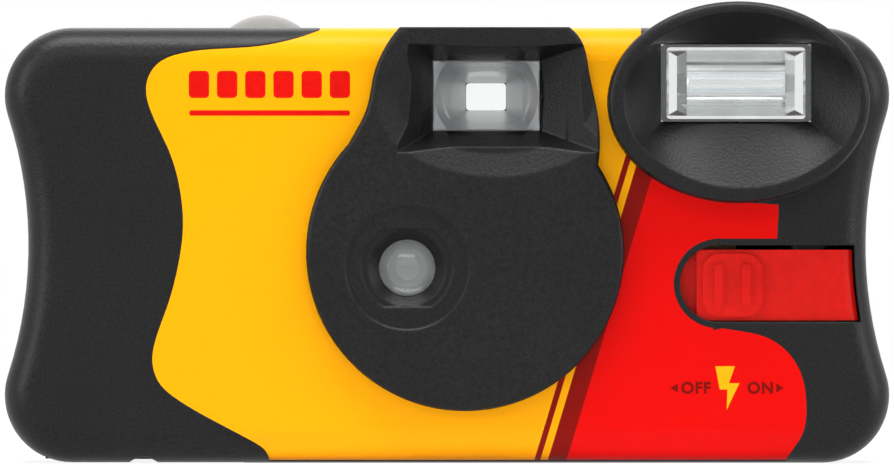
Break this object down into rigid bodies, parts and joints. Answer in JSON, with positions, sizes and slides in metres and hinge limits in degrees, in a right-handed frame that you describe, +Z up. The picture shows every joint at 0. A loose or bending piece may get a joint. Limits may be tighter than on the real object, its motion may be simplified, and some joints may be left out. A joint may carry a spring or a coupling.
{
  "type": "disposable film camera",
  "caption": "Single-use 35 mm film camera with a waisted body, built-in flash in an oval hood, a round lens panel, a viewfinder and a thumb wheel.",
  "frame": {"origin": "middle of the flat base, on the rest plane", "axes": "+Z up, -Y towards the lens side (front), +X towards the flash end, to the right of someone who looks at the front"},
  "size_m": [0.118, 0.036, 0.0614],
  "materials": {
    "black_plastic": "black ABS with a fine matte grain",
    "label_print": "printed film label, yellow with red",
    "frame_plastic": "black moulded plastic",
    "clear_plastic": "clear acrylic",
    "spring_steel": "bare spring steel",
    "white_plastic": "white moulded plastic",
    "grey_plastic": "light grey moulded plastic",
    "cartridge_print": "printed steel cartridge",
    "blackened_steel": "blackened steel sheet",
    "film": "brown film base",
    "reflector_metal": "bright aluminium reflector",
    "flash_glass": "glass tube",
    "board_laminate": "tan phenolic circuit board",
    "capacitor_sleeve": "black sleeved can",
    "ferrite": "ferrite core with a taped winding",
    "neon_glass": "neon lamp glass",
    "contact_metal": "nickel-plated steel",
    "red_plastic": "red moulded plastic",
    "battery_sleeve": "printed cell sleeve"
  },
  "bodies": {
    "camera_body": {"front_cover": "black_plastic", "back_cover": "black_plastic", "front_label": "label_print", "back_label": "label_print", "main_frame": "frame_plastic", "light_baffle": "frame_plastic", "lens_holder": "frame_plastic", "front_lens": "clear_plastic", "aperture_stop": "spring_steel", "rear_lens": "clear_plastic", "blade_spring": "spring_steel", "drive_spring": "spring_steel", "button_spring": "spring_steel", "anti_reverse_pawl": "frame_plastic", "cartridge_shell": "cartridge_print", "cartridge_caps": "blackened_steel", "film_strip": "film", "counter_window": "clear_plastic", "viewfinder_front_lens": "clear_plastic", "viewfinder_rear_lens": "clear_plastic", "viewfinder_tunnel": "frame_plastic", "flash_lens": "clear_plastic", "flash_reflector": "reflector_metal", "flash_tube": "flash_glass", "circuit_board": "board_laminate", "circuit_chips": "capacitor_sleeve", "flash_capacitor": "capacitor_sleeve", "transformer": "ferrite", "ready_lamp": "neon_glass", "ready_light_pipe": "clear_plastic", "switch_contact": "contact_metal", "trigger_contact": "contact_metal", "battery": "battery_sleeve", "battery_contact_top": "contact_metal", "battery_contact_bottom": "contact_metal"},
    "shutter_button": {"shutter_button": "grey_plastic"},
    "release_lever": {"release_lever": "white_plastic"},
    "drive_lever": {"drive_lever": "white_plastic"},
    "shutter_blade": {"shutter_blade": "spring_steel"},
    "advance_wheel": {"advance_wheel": "frame_plastic", "cartridge_spool": "frame_plastic"},
    "supply_spool": {"supply_spool": "frame_plastic", "film_roll": "film"},
    "film_sprocket": {"film_sprocket": "white_plastic"},
    "counter_disc": {"counter_disc": "white_plastic"},
    "flash_switch": {"flash_switch": "red_plastic"},
    "film_door": {"film_door": "black_plastic"}
  },
  "joints": [
    {"name": "shutter_press", "type": "slide", "parent": "camera_body", "child": "shutter_button", "axis": [0, 0, -1], "range_m": [0, 0.0015], "stiffness_N_per_m": 600},
    {"name": "release_rock", "type": "hinge", "parent": "camera_body", "child": "release_lever", "pos_m": [-0.016, -0.0045, 0.05], "axis": [0, -1, 0], "range_deg": [0, 12.5]},
    {"name": "drive_swing", "type": "hinge", "parent": "camera_body", "child": "drive_lever", "pos_m": [-0.0113, -0.0024, 0.0452], "axis": [0, 0, -1], "range_deg": [0, 20]},
    {"name": "blade_swing", "type": "hinge", "parent": "camera_body", "child": "shutter_blade", "pos_m": [-0.0128, -0.01005, 0.03], "axis": [0, -1, 0], "range_deg": [0, 40]},
    {"name": "film_advance", "type": "hinge", "parent": "camera_body", "child": "advance_wheel", "pos_m": [-0.04045, 0.001, 0.0516], "axis": [0, 0, 1], "continuous": true},
    {"name": "supply_turn", "type": "hinge", "parent": "camera_body", "child": "supply_spool", "pos_m": [0.0272, 0.0021, 0.026], "axis": [0, 0, 1], "continuous": true},
    {"name": "sprocket_turn", "type": "hinge", "parent": "camera_body", "child": "film_sprocket", "pos_m": [-0.0192, 0.0053, 0.045], "axis": [0, 0, 1], "continuous": true},
    {"name": "counter_turn", "type": "hinge", "parent": "camera_body", "child": "counter_disc", "pos_m": [-0.0095, 0.0035, 0.055], "axis": [0, 0, 1], "continuous": true},
    {"name": "flash_slide", "type": "slide", "parent": "camera_body", "child": "flash_switch", "axis": [1, 0, 0], "range_m": [-0.0019, 0]},
    {"name": "film_door_hinge", "type": "hinge", "parent": "camera_body", "child": "film_door", "pos_m": [-0.04045, 0.0106, 0.0014], "axis": [1, 0, 0], "range_deg": [0, 95]}
  ],
  "couplings": [
    {"joint": "release_rock", "follows": "shutter_press", "rad_per_m": 145},
    {"joint": "blade_swing", "follows": "drive_swing", "ratio": 2},
    {"joint": "supply_turn", "follows": "film_advance", "ratio": 0.5612},
    {"joint": "sprocket_turn", "follows": "film_advance", "ratio": 0.9094},
    {"joint": "counter_turn", "follows": "film_advance", "ratio": -0.022735}
  ]
}
